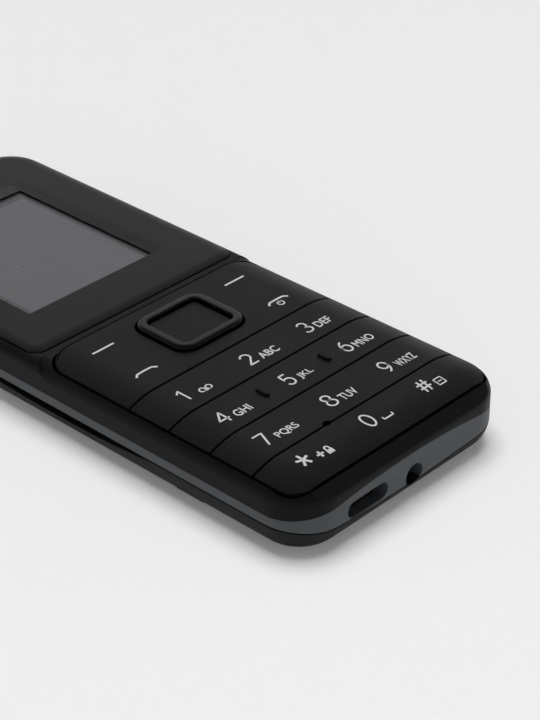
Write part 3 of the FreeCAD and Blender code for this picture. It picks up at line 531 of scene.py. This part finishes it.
# Geometry Nodes: a thin printed line of one width along each path
def strokeTree():
    tree = bpy.data.node_groups.new("printedLine", "GeometryNodeTree")
    tree.interface.new_socket("Paths", in_out="INPUT", socket_type="NodeSocketGeometry")
    width = tree.interface.new_socket("Line width", in_out="INPUT", socket_type="NodeSocketFloat")
    layer = tree.interface.new_socket("Layer", in_out="INPUT", socket_type="NodeSocketFloat")
    ink = tree.interface.new_socket("Ink", in_out="INPUT", socket_type="NodeSocketMaterial")
    tree.interface.new_socket("Lines", in_out="OUTPUT", socket_type="NodeSocketGeometry")
    entry = tree.nodes.new("NodeGroupInput")
    path = tree.nodes.new("GeometryNodeMeshToCurve")
    level = tree.nodes.new("GeometryNodeSetCurveNormal")
    level.mode = "Z_UP"
    profile = tree.nodes.new("GeometryNodeCurvePrimitiveQuadrilateral")
    sweep = tree.nodes.new("GeometryNodeCurveToMesh")
    sweep.inputs["Fill Caps"].default_value = True
    real = tree.nodes.new("GeometryNodeRealizeInstances")
    paint = tree.nodes.new("GeometryNodeSetMaterial")
    leave = tree.nodes.new("NodeGroupOutput")
    join = tree.links.new
    join(entry.outputs["Paths"], path.inputs["Mesh"])
    join(entry.outputs["Line width"], profile.inputs["Width"])
    join(entry.outputs["Layer"], profile.inputs["Height"])
    join(path.outputs["Curve"], level.inputs["Curve"])
    join(level.outputs["Curve"], sweep.inputs["Curve"])
    join(profile.outputs["Curve"], sweep.inputs["Profile Curve"])
    join(sweep.outputs["Mesh"], real.inputs["Geometry"])
    join(real.outputs["Geometry"], paint.inputs["Geometry"])
    join(entry.outputs["Ink"], paint.inputs["Material"])
    join(paint.outputs["Geometry"], leave.inputs["Lines"])
    return tree, width.identifier, layer.identifier, ink.identifier


lineTree, lineWidthSocket, lineLayerSocket, lineInkSocket = strokeTree()


# a path with more points on it, so that its ink can follow a crowned face
def shortSteps(path):
    course = [path[0]]
    for start, end in zip(path, path[1:]):
        pieces = max(1, math.ceil(math.dist(start, end) / legendLook["step"]))
        for number in range(1, pieces + 1):
            share = number / pieces
            x = start[0] + (end[0] - start[0]) * share
            y = start[1] + (end[1] - start[1]) * share
            course.append((x, y))
    return course


# paths are lists of (x, y) in millimetres, closed where the ends meet
def sweptLines(paths, lineWidth):
    mesh = bpy.data.meshes.new("paths")
    points = []
    edges = []
    for path in paths:
        first = len(points)
        closed = math.dist(path[0], path[-1]) < 0.001
        course = shortSteps(path)
        if closed:
            course = course[:-1]
        points += [(x, y, 0.0) for x, y in course]
        edges += [(first + number, first + number + 1) for number in range(len(course) - 1)]
        if closed:
            edges.append((len(points) - 1, first))
    mesh.from_pydata(points, edges, [])
    holder = bpy.data.objects.new("pathHolder", mesh)
    bpy.context.scene.collection.objects.link(holder)
    modifier = holder.modifiers.new("lines", "NODES")
    modifier.node_group = lineTree
    modifier[lineWidthSocket] = lineWidth
    modifier[lineLayerSocket] = legendLook["thickness"]
    modifier[lineInkSocket] = legendInk
    graph = bpy.context.evaluated_depsgraph_get()
    made = bpy.data.meshes.new_from_object(holder.evaluated_get(graph))
    holder.modifiers.clear()
    bpy.data.objects.remove(holder)
    return made


# printed matter on the keys: every mark is a thin layer of ink that follows the key face
legendLook = {
    "thickness": 0.04, "step": 0.35, "digitHeight": 3.5, "letterHeight": 1.85, "digitLine": 0.35,
    "letterBold": 0.010, "iconLine": 0.28, "dashLine": 0.42,
}


def wordMesh(letters, bold):
    text = bpy.data.curves.new("word", "FONT")
    text.body = letters
    text.offset = bold
    text.extrude = legendLook["thickness"] / 2
    text.resolution_u = 6
    holder = bpy.data.objects.new("word", text)
    bpy.context.scene.collection.objects.link(holder)
    graph = bpy.context.evaluated_depsgraph_get()
    made = bpy.data.meshes.new_from_object(holder.evaluated_get(graph))
    bpy.data.objects.remove(holder)
    return made


# one mark: a flat mesh fitted into a rectangle (left, right, bottom, top), in millimetres
def fitted(mesh, area):
    left, right, bottom, top = area
    xs = [vertex.co.x for vertex in mesh.vertices]
    ys = [vertex.co.y for vertex in mesh.vertices]
    scaleX = (right - left) / (max(xs) - min(xs))
    scaleY = (top - bottom) / (max(ys) - min(ys))
    for vertex in mesh.vertices:
        vertex.co.x = left + (vertex.co.x - min(xs)) * scaleX
        vertex.co.y = bottom + (vertex.co.y - min(ys)) * scaleY
    return mesh


def word(text, left, right, bottom, height, bold):
    return fitted(wordMesh(text, bold), (left, right, bottom, bottom + height))


def arcPath(x, y, radiusX, radiusY, start, end, steps=16):
    path = []
    for number in range(steps + 1):
        angle = math.radians(start + (end - start) * number / steps)
        path.append((x + radiusX * math.cos(angle), y + radiusY * math.sin(angle)))
    return path


# strokes of each digit in a box one wide and one high
digitStrokes = {
    "0": [arcPath(0.5, 0.5, 0.5, 0.5, 90, 450, 28)],
    "1": [[(0.0, 0.76), (0.72, 1.0), (0.72, 0.0)]],
    "2": [arcPath(0.5, 0.72, 0.48, 0.28, 165, -42, 14) + [(0.02, 0.0), (1.0, 0.0)]],
    "3": [arcPath(0.46, 0.74, 0.44, 0.26, 155, -90, 14) + arcPath(0.46, 0.25, 0.52, 0.25, 80, -155, 14)],
    "4": [[(0.76, 0.0), (0.76, 0.98), (0.02, 0.3), (1.0, 0.3)]],
    "5": [[(0.92, 1.0), (0.16, 1.0), (0.08, 0.54)] + arcPath(0.47, 0.32, 0.51, 0.32, 118, -155, 14)],
    "6": [arcPath(0.5, 0.31, 0.48, 0.31, 90, 450, 22), arcPath(1.0, 0.33, 0.98, 0.67, 180, 106, 10)],
    "7": [[(0.0, 1.0), (1.0, 1.0), (0.34, 0.0)]],
    "8": [arcPath(0.5, 0.76, 0.42, 0.24, 90, 450, 20), arcPath(0.5, 0.27, 0.5, 0.27, 90, 450, 22)],
    "9": [arcPath(0.5, 0.69, 0.48, 0.31, 90, 450, 22), arcPath(0.0, 0.67, 0.98, 0.67, 0, -74, 10)],
}


def digit(sign, left, right, bottom):
    line = legendLook["digitLine"]
    width = right - left - line
    height = legendLook["digitHeight"] - line
    paths = []
    for stroke in digitStrokes[sign]:
        paths.append([(left + line / 2 + x * width, bottom + line / 2 + y * height) for x, y in stroke])
    return sweptLines(paths, line)


# joins marks into one piece and lays them on the face of their key
def legendOrShadowPiece(name, meshes, body, key, ink=None):
    source = nodes[key].data
    face = BVHTree.FromPolygons([vertex.co.copy() for vertex in source.vertices],
                                [tuple(polygon.vertices) for polygon in source.polygons])
    joined = bmesh.new()
    for mesh in meshes:
        joined.from_mesh(mesh)
    bmesh.ops.remove_doubles(joined, verts=joined.verts, dist=0.0005)
    bmesh.ops.recalc_face_normals(joined, faces=joined.faces)
    for vertex in joined.verts:
        x, y, z = vertex.co
        hit = face.ray_cast(Vector((x * mm, y * mm, 20 * mm)), Vector((0, 0, -1)))[0]
        vertex.co = Vector((x * mm, y * mm, hit.z + z * mm))
    result = bpy.data.meshes.new(name)
    joined.to_mesh(result)
    joined.free()
    return addPiece(name, result, ink or legendInk, body)


numberKeys = [
    ("legends_123", "bar_123", "key_strip_123", -28.05,
     [("1", -17.35, -15.85), ("2", -2.75, -0.55), ("3", 11.05, 13.15)],
     [("ABC", 0.25, 4.35), ("DEF", 13.85, 17.25)]),
    ("legends_456", "bar_456", "key_strip_456", -36.95,
     [("4", -18.15, -15.65), ("5", -2.75, -0.75), ("6", 11.05, 13.05)],
     [("GHI", -14.85, -11.45), ("JKL", 0.05, 3.15), ("MNO", 13.55, 17.85)]),
    ("legends_789", "bar_789", "key_strip_789", -45.95,
     [("7", -18.05, -15.75), ("8", -2.95, -0.75), ("9", 10.85, 12.85)],
     [("PQRS", -14.75, -10.15), ("TUV", -0.05, 3.55), ("WXYZ", 13.65, 17.95)]),
    ("legends_star_zero_hash", "bar_star_zero_hash", "key_strip_star_zero_hash", -54.05,
     [("0", -2.95, -0.75)], []),
]

# the signs beside the digits: x from the phone's middle line, heights from the foot of the digits or, for
# plus, star and hash, from the middle of the row, in millimetres
signLook = {
    "voicemail": {"left": -13.25, "right": -11.85, "radius": 0.55, "up": 0.75},
    "plus": {"left": -14.4, "x": -13.7, "right": -13.0, "low": -1.45, "up": -0.75, "high": -0.05,
             "line": 0.42},
    "star": {"x": -16.75, "rays": 5, "reachX": 1.3, "reachY": 1.45, "line": 0.46},
    "hash": {"x": 11.85, "lean": 0.2, "gap": 0.5, "high": 1.5, "left": 10.6, "right": 13.0, "line": 0.36},
    "space": {"left": 0.4, "right": 2.5, "low": 0.2, "high": 0.75},
    "lock": {"x": -11.9, "bowX": 0.4, "bowY": 0.45, "bowUp": 1.3, "legs": 0.9, "line": 0.3, "low": 0.05,
             "keyhole": 0.1, "high": 1.0, "width": 1.3},
    "box": {"left": 14.0, "right": 15.6, "low": 0.15, "high": 1.7, "dashLeft": 14.4, "dashRight": 15.2,
            "dashUp": 0.9, "line": 0.24},
}


# two loops and the line below them
def voicemailSign(look, bottom):
    y = bottom + look["up"]
    radius = look["radius"]
    paths = [arcPath(x, y, radius, radius, 0, 360) for x in (look["left"], look["right"])]
    paths.append([(look["left"], y - radius), (look["right"], y - radius)])
    return sweptLines(paths, legendLook["iconLine"])


def plusSign(look, middle):
    across = middle + look["up"]
    upright = [(look["x"], middle + look["low"]), (look["x"], middle + look["high"])]
    return sweptLines([[(look["left"], across), (look["right"], across)], upright], look["line"])


def starSign(look, middle):
    rays = []
    for number in range(look["rays"]):
        angle = math.radians(90 + 360 / look["rays"] * number)
        end = (look["x"] + look["reachX"] * math.cos(angle), middle + look["reachY"] * math.sin(angle))
        rays.append([(look["x"], middle), end])
    return sweptLines(rays, look["line"])


def hashSign(look, middle):
    lines = []
    for shift in (-look["gap"], look["gap"]):
        x = look["x"] + shift
        lines.append([(x - look["lean"], middle - look["high"]), (x + look["lean"], middle + look["high"])])
        lines.append([(look["left"], middle + shift), (look["right"], middle + shift)])
    return sweptLines(lines, look["line"])


def spaceSign(look, bottom):
    low = bottom + look["low"]
    high = bottom + look["high"]
    path = [(look["left"], high), (look["left"], low), (look["right"], low), (look["right"], high)]
    return sweptLines([path], legendLook["iconLine"])


def lockSigns(look, bottom):
    x = look["x"]
    legs = bottom + look["legs"]
    high = bottom + look["high"]
    bow = arcPath(x, bottom + look["bowUp"], look["bowX"], look["bowY"], 180, 0, 8)
    shackle = [(x - look["bowX"], legs)] + bow + [(x + look["bowX"], legs)]
    outline = sweptLines([shackle, [(x, bottom + look["keyhole"]), (x, high)]], look["line"])
    return [outline, sweptLines([[(x, bottom + look["low"]), (x, high)]], look["width"])]


def boxSign(look, bottom):
    low = bottom + look["low"]
    high = bottom + look["high"]
    dash = bottom + look["dashUp"]
    sides = [(look["left"], low), (look["right"], low), (look["right"], high), (look["left"], high),
             (look["left"], low)]
    return sweptLines([sides, [(look["dashLeft"], dash), (look["dashRight"], dash)]], look["line"])


for name, body, key, middle, digits, words in numberKeys:
    bottom = middle - legendLook["digitHeight"] / 2
    marks = [digit(sign, left, right, bottom) for sign, left, right in digits]
    marks += [word(text, left, right, bottom, legendLook["letterHeight"], legendLook["letterBold"])
              for text, left, right in words]
    if key == "key_strip_123":
        marks.append(voicemailSign(signLook["voicemail"], bottom))
    if key == "key_strip_star_zero_hash":
        marks.append(plusSign(signLook["plus"], middle))
        marks.append(starSign(signLook["star"], middle))
        marks.append(hashSign(signLook["hash"], middle))
        marks.append(spaceSign(signLook["space"], bottom))
        marks += lockSigns(signLook["lock"], bottom)
        marks.append(boxSign(signLook["box"], bottom))
    legendOrShadowPiece(name, marks, body, key)

# dashes of the soft keys, handsets of the call keys and the power sign by the right one, in millimetres
navLook = {
    "dashes": ((-17.85, -13.15, -8.25), (13.05, 17.65, -8.45)),
    "handsets": ((-15.6, -18.1), (15.5, -18.15)), "halfHandset": 2.35, "turned": 0.72, "bow": 0.06,
    "handsetLine": 0.42, "power": (15.35, -19.5), "powerRadius": 0.62, "powerFrom": 120, "powerTo": 420,
    "powerLow": 0.15, "powerHigh": 0.75, "powerLine": 0.26,
}


# a flat back whose ends turn down
def handset(middle, high, look):
    half = look["halfHandset"]
    inner = half - look["turned"]
    low = high - look["turned"]
    back = high - look["bow"]
    path = [(middle - half, low), (middle - inner, back), (middle, high), (middle + inner, back),
            (middle + half, low)]
    return sweptLines([path], look["handsetLine"])


def navLegends(look):
    marks = [sweptLines([[(left, y), (right, y)] for left, right, y in look["dashes"]],
                        legendLook["dashLine"])]
    marks += [handset(middle, high, look) for middle, high in look["handsets"]]
    x, y = look["power"]
    ring = arcPath(x, y, look["powerRadius"], look["powerRadius"], look["powerFrom"], look["powerTo"])
    stem = [(x, y + look["powerLow"]), (x, y + look["powerHigh"])]
    marks.append(sweptLines([ring, stem], look["powerLine"]))
    legendOrShadowPiece("legends_nav", marks, "nav_keys", "nav_key_block")


navLegends(navLook)

# a thin dark line along the high edge of the key plate, which stands in for the shadow of the gap behind it;
# inset, width and corner in millimetres
gapShadowLook = {
    "dark": grey(0.0008), "light": grey(0.0012), "grain": 0.2 * mm, "cloud": 5 * mm, "rough": 0.8,
    "roughSpread": 0.1, "shine": 0.03, "depth": 0.002 * mm, "inset": 0.3, "width": 0.26, "corner": 4.4,
    "turn": 45,
}


def keyGapShadow(look):
    low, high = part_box("nav_key_block")
    half = high.x / mm - look["inset"]
    top = high.y / mm - look["inset"]
    radius = look["corner"] - look["inset"]
    path = arcPath(-half + radius, top - radius, radius, radius, 90 + look["turn"], 90, 8)
    path += arcPath(half - radius, top - radius, radius, radius, 90, 90 - look["turn"], 8)
    material = mouldedPlastic("paintedGapShadow", look)
    line = sweptLines([path], look["width"])
    # the painted shadow is laid on the key plate's face like the legends, in its own near-black material
    legendOrShadowPiece("key_plate_painted_gap_shadow", [line], "nav_keys", "nav_key_block", material)


keyGapShadow(gapShadowLook)
print("key legends made")


# Geometry Nodes: a row of equal flat pads
def padTree():
    tree = bpy.data.node_groups.new("padRow", "GeometryNodeTree")
    sockets = {}
    kinds = {"Count": "Int", "Start": "Vector", "Spacing": "Vector", "Size": "Vector", "Metal": "Material"}
    for name, kind in kinds.items():
        socket = tree.interface.new_socket(name, in_out="INPUT", socket_type="NodeSocket" + kind)
        sockets[name] = socket.identifier
    tree.interface.new_socket("Pads", in_out="OUTPUT", socket_type="NodeSocketGeometry")
    entry = tree.nodes.new("NodeGroupInput")
    line = tree.nodes.new("GeometryNodeMeshLine")
    line.mode = "OFFSET"
    pad = tree.nodes.new("GeometryNodeMeshCube")
    copies = tree.nodes.new("GeometryNodeInstanceOnPoints")
    real = tree.nodes.new("GeometryNodeRealizeInstances")
    paint = tree.nodes.new("GeometryNodeSetMaterial")
    leave = tree.nodes.new("NodeGroupOutput")
    join = tree.links.new
    join(entry.outputs["Count"], line.inputs["Count"])
    join(entry.outputs["Start"], line.inputs["Start Location"])
    join(entry.outputs["Spacing"], line.inputs["Offset"])
    join(entry.outputs["Size"], pad.inputs["Size"])
    join(line.outputs["Mesh"], copies.inputs["Points"])
    join(pad.outputs["Mesh"], copies.inputs["Instance"])
    join(copies.outputs["Instances"], real.inputs["Geometry"])
    join(real.outputs["Geometry"], paint.inputs["Geometry"])
    join(entry.outputs["Metal"], paint.inputs["Material"])
    join(paint.outputs["Geometry"], leave.inputs["Pads"])
    return tree, sockets


padRowTree, padSockets = padTree()


# low and high are the corners of the first pad
def padRow(name, count, low, high, spacing, body):
    holder = bpy.data.objects.new(name, bpy.data.meshes.new(name))
    bpy.context.scene.collection.objects.link(holder)
    modifier = holder.modifiers.new("pads", "NODES")
    modifier.node_group = padRowTree
    modifier[padSockets["Count"]] = count
    modifier[padSockets["Start"]] = (low + high) / 2
    modifier[padSockets["Spacing"]] = Vector(spacing)
    modifier[padSockets["Size"]] = high - low
    modifier[padSockets["Metal"]] = contactGold
    graph = bpy.context.evaluated_depsgraph_get()
    made = bpy.data.meshes.new_from_object(holder.evaluated_get(graph))
    bpy.data.objects.remove(holder)
    addPiece(name, made, contactGold, body)


contactLook = {
    "usbPitch": 0.65 * mm, "usbWidth": 0.36 * mm, "usbBack": 0.5 * mm, "skin": 0.04 * mm,
    "pitch": 3.0 * mm, "padWidth": 1.5 * mm, "springWidth": 0.76 * mm, "rim": 0.9 * mm,
    "recess": 0.45 * mm,
}


# five strips under the charging tongue, three springs, and the three pads of the battery
def contacts(look):
    low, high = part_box("usb_tongue")
    middle = (low.x + high.x) / 2
    first = middle - 2 * look["usbPitch"] - look["usbWidth"] / 2
    padRow("usb_contacts", 5, Vector((first, low.y + look["usbBack"], low.z - look["skin"])),
           Vector((first + look["usbWidth"], high.y - look["usbBack"], low.z + look["skin"] / 4)),
           (look["usbPitch"], 0, 0), "housing")
    low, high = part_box("battery_contacts")
    half = look["springWidth"] / 2
    padRow("battery_springs", 3, Vector((-look["pitch"] - half, low.y - look["skin"], low.z + look["rim"])),
           Vector((-look["pitch"] + half, low.y + 6 * look["skin"], high.z - look["rim"])),
           (look["pitch"], 0, 0), "housing")
    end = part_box("battery")[1].y - look["recess"]
    half = look["padWidth"] / 2
    padRow("battery_pads", 3, Vector((-look["pitch"] - half, end, low.z + look["recess"])),
           Vector((-look["pitch"] + half, end + look["skin"], high.z - look["rim"])),
           (look["pitch"], 0, 0), "housing")


contacts(contactLook)
print("contacts made")


# floor: a wide pale disc that turns up into a low rim far from the phone
floorLook = {
    "colour": grey(0.86), "glow": 0.12, "down": 0.1 * mm, "radius": 1.9, "sweep": 0.5, "height": 0.7,
    "rough": 0.85,
}


def studioFloor(look):
    sweep = look["sweep"]
    flat = look["radius"] - sweep
    profile = [(0.0, 0.0)] + arcPath(flat, sweep, sweep, sweep, -90, 0, 12)
    profile.append((look["radius"], look["height"]))
    turned = bmesh.new()
    ring = [turned.verts.new((x, 0.0, z - look["down"])) for x, z in profile]
    edges = [turned.edges.new((ring[number], ring[number + 1])) for number in range(len(ring) - 1)]
    bmesh.ops.spin(turned, geom=ring + edges, axis=(0, 0, 1), cent=(0, 0, 0), angle=2 * math.pi, steps=96,
                   use_merge=True)
    bmesh.ops.remove_doubles(turned, verts=turned.verts, dist=1e-5)
    bmesh.ops.recalc_face_normals(turned, faces=turned.faces)
    mesh = bpy.data.meshes.new("studioFloor")
    turned.to_mesh(mesh)
    turned.free()
    for polygon in mesh.polygons:
        polygon.use_smooth = True
    finish = Finish("studioPaper")
    paper = finish.add("ShaderNodeBsdfDiffuse", None, {"Color": look["colour"], "Roughness": look["rough"]})
    glow = finish.add("ShaderNodeEmission", None, {"Color": look["colour"], "Strength": 1.0})
    seen = finish.add("ShaderNodeLightPath", out="Is Camera Ray")
    mirrored = finish.add("ShaderNodeLightPath", out="Is Glossy Ray")
    through = finish.add("ShaderNodeLightPath", out="Is Transmission Ray")
    share = finish.maximum(seen, mirrored, through) * look["glow"]
    mixed = finish.add("ShaderNodeMixShader", None, {0: share, 1: paper, 2: glow})
    finish.add("ShaderNodeOutputMaterial", None, {"Surface": mixed})
    mesh.materials.append(finish.material)
    floor = bpy.data.objects.new("studioFloor", mesh)
    bpy.context.scene.collection.objects.link(floor)


studioFloor(floorLook)

# a room lit from a broad lamp overhead; glossy faces mirror a bright backdrop behind the phone
roomLook = {
    "ambient": 0.22, "dim": 0.12, "backdrop": 0.62, "backdropSide": (0.72, 0.69), "seen": grey(0.86),
    "sun": 2.75, "sunAngle": 38.0, "sunFrom": (0.09, 0.13, 1.0),
}


def studioRoom(look):
    world = bpy.data.worlds.new("studioRoom")
    world.use_nodes = True
    room = Finish("studioRoom", world)
    towards = room.add("ShaderNodeTexCoord", out="Generated")
    sideX, sideY = look["backdropSide"]
    behind = room.axis(towards, 0) * sideX + room.axis(towards, 1) * sideY
    backdrop = room.add("ShaderNodeMath", {"operation": "MAXIMUM"}, {0: behind, 1: 0.0}) * look["backdrop"]
    mirrored = room.add("ShaderNodeLightPath", out="Is Glossy Ray")
    level = mirrored * (backdrop + look["dim"]) + (1.0 - mirrored) * look["ambient"]
    lit = room.add("ShaderNodeBackground", None, {"Color": grey(1.0), "Strength": level})
    shown = room.add("ShaderNodeBackground", None, {"Color": look["seen"], "Strength": 1.0})
    seen = room.add("ShaderNodeLightPath", out="Is Camera Ray")
    mixed = room.add("ShaderNodeMixShader", None, {0: seen, 1: lit, 2: shown})
    room.add("ShaderNodeOutputWorld", None, {"Surface": mixed})
    bpy.context.scene.world = world
    lamp = bpy.data.lights.new("overheadSky", "SUN")
    lamp.energy = look["sun"]
    lamp.angle = math.radians(look["sunAngle"])
    holder = bpy.data.objects.new("overheadSky", lamp)
    holder.rotation_euler = Vector(look["sunFrom"]).to_track_quat("Z", "Y").to_euler()
    holder.visible_glossy = False
    bpy.context.scene.collection.objects.link(holder)


studioRoom(roomLook)
print("floor and lamps made")

# the camera stands at the left of the foot end and looks down along the keys; place in millimetres
cameraLook = {
    "place": (-211.878, -231.479, 195.496), "forward": (0.61673, 0.58240, -0.52959),
    "right": (0.68498, -0.72856, -0.00353), "lens": 105.66, "sensor": 36.0,
}


def addCamera(look):
    forward = Vector(look["forward"]).normalized()
    right = Vector(look["right"])
    right = (right - forward * right.dot(forward)).normalized()
    up = right.cross(forward)
    data = bpy.data.cameras.new("camera")
    data.lens = look["lens"]
    data.sensor_width = look["sensor"]
    data.clip_start = 0.01
    data.clip_end = 20.0
    camera = bpy.data.objects.new("camera", data)
    turn = Matrix((right, up, -forward)).transposed().to_4x4()
    camera.matrix_world = Matrix.Translation(Vector(look["place"]) * mm) @ turn
    bpy.context.scene.collection.objects.link(camera)
    bpy.context.scene.camera = camera


addCamera(cameraLook)
bpy.context.scene.view_settings.view_transform = "Standard"

bpy.context.view_layer.update()
